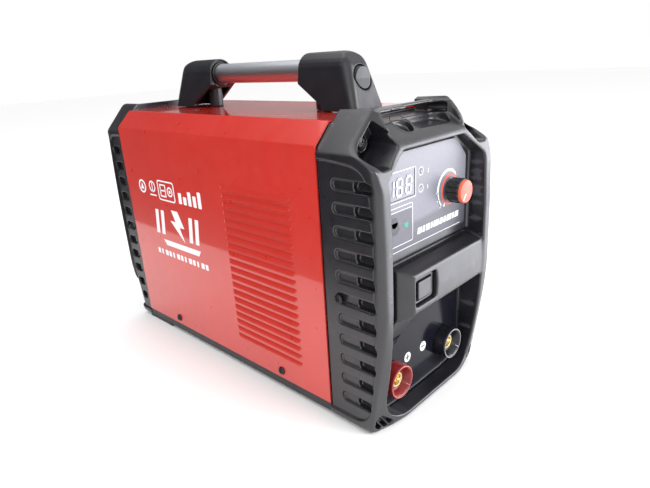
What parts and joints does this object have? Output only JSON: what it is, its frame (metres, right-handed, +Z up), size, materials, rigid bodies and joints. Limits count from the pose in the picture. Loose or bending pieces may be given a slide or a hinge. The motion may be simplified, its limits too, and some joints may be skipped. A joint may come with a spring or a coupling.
{
  "type": "stick welding inverter",
  "caption": "Portable inverter welding power source: red folded steel cover between black ribbed end bezels, tube handle, front control recess, twist-lock sockets.",
  "frame": {"origin": "on the ground under the middle of the machine", "axes": "+X to the right seen from the front, +Y from the front panel to the rear panel, +Z up"},
  "size_m": [0.1606, 0.3981, 0.2933],
  "materials": {
    "bezel_plastic": "fine-grained black ABS, slightly satin",
    "cover_paint": "glossy red powder coat on sheet steel",
    "tray_paint": "black powder coat",
    "handle_plastic": "fine-grained black nylon",
    "screw_steel": "black oxide",
    "tube_aluminium": "satin anodised, drawn along its length",
    "label_film": "silver-grey printed polyester film",
    "display_glass": "tinted display window with white numerals",
    "led_lens": "diffused lens",
    "plated_steel": "nickel-plated",
    "knob_plastic": "fluted black plastic",
    "knob_cap_plastic": "coral red cap with a white pointer",
    "red_insulator": "dark red glass-filled nylon",
    "black_insulator": "black glass-filled nylon",
    "contact_brass": "machined brass",
    "busbar_copper": "bare copper strap",
    "fan_plastic": "black glass-filled plastic",
    "guard_wire": "black coated wire",
    "switch_plastic": "black moulded plastic",
    "rocker_plastic": "red moulded plastic",
    "gland_nylon": "black nylon",
    "circuit_board": "green solder mask",
    "heatsink_aluminium": "extruded, unpainted",
    "core_ferrite": "ferrite core with taped winding",
    "choke_copper": "enamelled copper winding on a core",
    "capacitor_sleeve": "dark sleeve"
  },
  "bodies": {
    "housing": {"front_bezel": "bezel_plastic", "rear_bezel": "bezel_plastic", "top_cover": "cover_paint", "base_tray": "tray_paint", "front_handle_support": "handle_plastic", "rear_handle_support": "handle_plastic", "handle_tube": "tube_aluminium", "front_tube_plug": "handle_plastic", "rear_tube_plug": "handle_plastic", "front_handle_screw": "screw_steel", "rear_handle_screw": "screw_steel", "control_panel": "label_film", "display_module": "display_glass", "thermal_led": "led_lens", "power_led": "led_lens", "potentiometer": "plated_steel", "switch_blank": "bezel_plastic", "positive_socket": "red_insulator", "positive_contact": "contact_brass", "positive_busbar": "busbar_copper", "negative_socket": "black_insulator", "negative_contact": "contact_brass", "negative_busbar": "busbar_copper", "fan_frame": "fan_plastic", "fan_guard": "guard_wire", "power_switch_body": "switch_plastic", "cable_gland": "gland_nylon", "gland_nut": "gland_nylon", "earth_stud": "contact_brass", "earth_nut": "contact_brass", "power_board": "circuit_board", "control_board": "circuit_board", "heatsink_left": "heatsink_aluminium", "heatsink_right": "heatsink_aluminium", "main_transformer": "core_ferrite", "output_choke": "choke_copper", "filter_capacitor_front": "capacitor_sleeve", "filter_capacitor_rear": "capacitor_sleeve", "bridge_rectifier": "switch_plastic", "cover_screw_left_front": "screw_steel", "bezel_screw_left_front": "screw_steel", "corner_screw_left_front": "screw_steel", "cover_screw_left_rear": "screw_steel", "bezel_screw_left_rear": "screw_steel", "corner_screw_left_rear": "screw_steel", "cover_screw_right_front": "screw_steel", "bezel_screw_right_front": "screw_steel", "corner_screw_right_front": "screw_steel", "cover_screw_right_rear": "screw_steel", "bezel_screw_right_rear": "screw_steel", "corner_screw_right_rear": "screw_steel"},
    "knob": {"current_knob": "knob_plastic", "knob_cap": "knob_cap_plastic"},
    "fan": {"fan_rotor": "fan_plastic"},
    "rocker": {"power_rocker": "rocker_plastic"}
  },
  "joints": [
    {"name": "knob_turn", "type": "hinge", "parent": "housing", "child": "knob", "pos_m": [0.033, -0.1891, 0.18], "axis": [0, 1, 0], "range_deg": [0, 280]},
    {"name": "fan_spin", "type": "hinge", "parent": "housing", "child": "fan", "pos_m": [0, 0.1693, 0.112], "axis": [0, 1, 0], "continuous": true},
    {"name": "rocker_tilt", "type": "hinge", "parent": "housing", "child": "rocker", "pos_m": [0.04, 0.1831, 0.196], "axis": [1, 0, 0], "range_deg": [-20, 0]}
  ]
}
